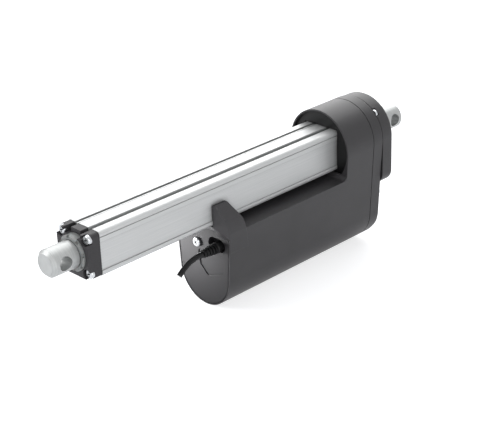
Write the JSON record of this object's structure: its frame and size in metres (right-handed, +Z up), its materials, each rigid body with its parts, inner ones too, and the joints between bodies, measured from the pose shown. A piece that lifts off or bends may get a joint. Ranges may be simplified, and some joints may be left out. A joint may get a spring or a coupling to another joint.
{
  "type": "electric linear actuator",
  "caption": "Parallel-drive electric linear actuator: square slotted tube, round rod with cross-bored eye, U-shaped motor housing below, gear case and rear eye at the back.",
  "frame": {"origin": "centre of the rear eye's cross bore", "axes": "+X along the rod, the way it extends; +Z up, away from the motor; +Y towards the cable's side"},
  "size_m": [0.454, 0.076, 0.148],
  "materials": {
    "cast_housing": "satin dark grey powder coat, fine grain",
    "satin_aluminium": "extruded, satin clear anodised",
    "dark_cap": "moulded, fine grain",
    "steel_eye": "turned, satin",
    "zinc_steel": "bright zinc plated",
    "black_rubber": "moulded, satin",
    "pale_ring": "moulded pale grey",
    "white_acetal": "machined acetal",
    "bearing_steel": "ground",
    "ferrite": "sintered ferrite",
    "carbon": "pressed carbon",
    "dark_plastic": "moulded",
    "green_board": "glass laminate with green mask",
    "black_cable": "smooth round jacket",
    "chrome_rod": "ground and plated",
    "spindle_steel": "rolled thread, oiled",
    "gear_steel": "sintered steel, greased",
    "core_steel": "stacked lamination",
    "copper_winding": "enamelled copper wire, brass stands in for copper",
    "brass_segments": "turned copper alloy"
  },
  "bodies": {
    "housing": {"main_housing": "cast_housing", "outer_tube": "satin_aluminium", "gear_cover": "cast_housing", "back_cover": "cast_housing", "front_cap": "dark_cap", "rear_eye": "steel_eye", "eye_spacer": "zinc_steel", "gear_gasket": "black_rubber", "case_screws": "zinc_steel", "cover_screws": "zinc_steel", "front_cap_screws": "zinc_steel", "wiper_ring": "pale_ring", "wiper_seal": "black_rubber", "guide_bush": "white_acetal", "spindle_bearing_races": "bearing_steel", "idler_pin": "bearing_steel", "motor_can": "zinc_steel", "motor_screws": "zinc_steel", "motor_magnets": "ferrite", "motor_bearing_races": "bearing_steel", "motor_end_bell": "dark_plastic", "motor_brushes": "carbon", "motor_cradle": "dark_plastic", "control_board": "green_board", "board_screws": "zinc_steel", "board_parts": "dark_plastic", "motor_end_cap": "cast_housing", "end_cap_screw": "zinc_steel", "cable_gland": "black_rubber", "strain_relief": "black_rubber", "cable": "black_cable"},
    "rod": {"piston_tube": "chrome_rod", "rod_end": "steel_eye", "drive_nut": "white_acetal"},
    "spindle": {"spindle": "spindle_steel", "spindle_gear": "gear_steel", "spindle_spacer": "zinc_steel", "spindle_inner_races": "bearing_steel", "spindle_lock_nut": "zinc_steel"},
    "idler": {"idler_gear": "gear_steel"},
    "armature": {"armature_core": "core_steel", "motor_shaft": "bearing_steel", "armature_windings": "copper_winding", "commutator": "brass_segments", "motor_pinion": "gear_steel", "motor_inner_races": "bearing_steel"}
  },
  "joints": [
    {"name": "motor_spin", "type": "hinge", "parent": "housing", "child": "armature", "pos_m": [0.15, 0, -0.077], "axis": [-1, 0, 0], "range_deg": [0, 200769.23]},
    {"name": "idler_spin", "type": "hinge", "parent": "housing", "child": "idler", "pos_m": [0.07, 0, -0.041], "axis": [-1, 0, 0], "range_deg": [-48462.54, 0]},
    {"name": "spindle_spin", "type": "hinge", "parent": "housing", "child": "spindle", "pos_m": [0.07, 0, 0], "axis": [-1, 0, 0], "range_deg": [0, 22501]},
    {"name": "rod_slide", "type": "slide", "parent": "housing", "child": "rod", "axis": [1, 0, 0], "range_m": [0, 0.2501]}
  ],
  "couplings": [
    {"joint": "idler_spin", "follows": "motor_spin", "ratio": -0.24138},
    {"joint": "spindle_spin", "follows": "motor_spin", "ratio": 0.11207},
    {"joint": "rod_slide", "follows": "motor_spin", "m_per_rad": 0.000071345}
  ]
}
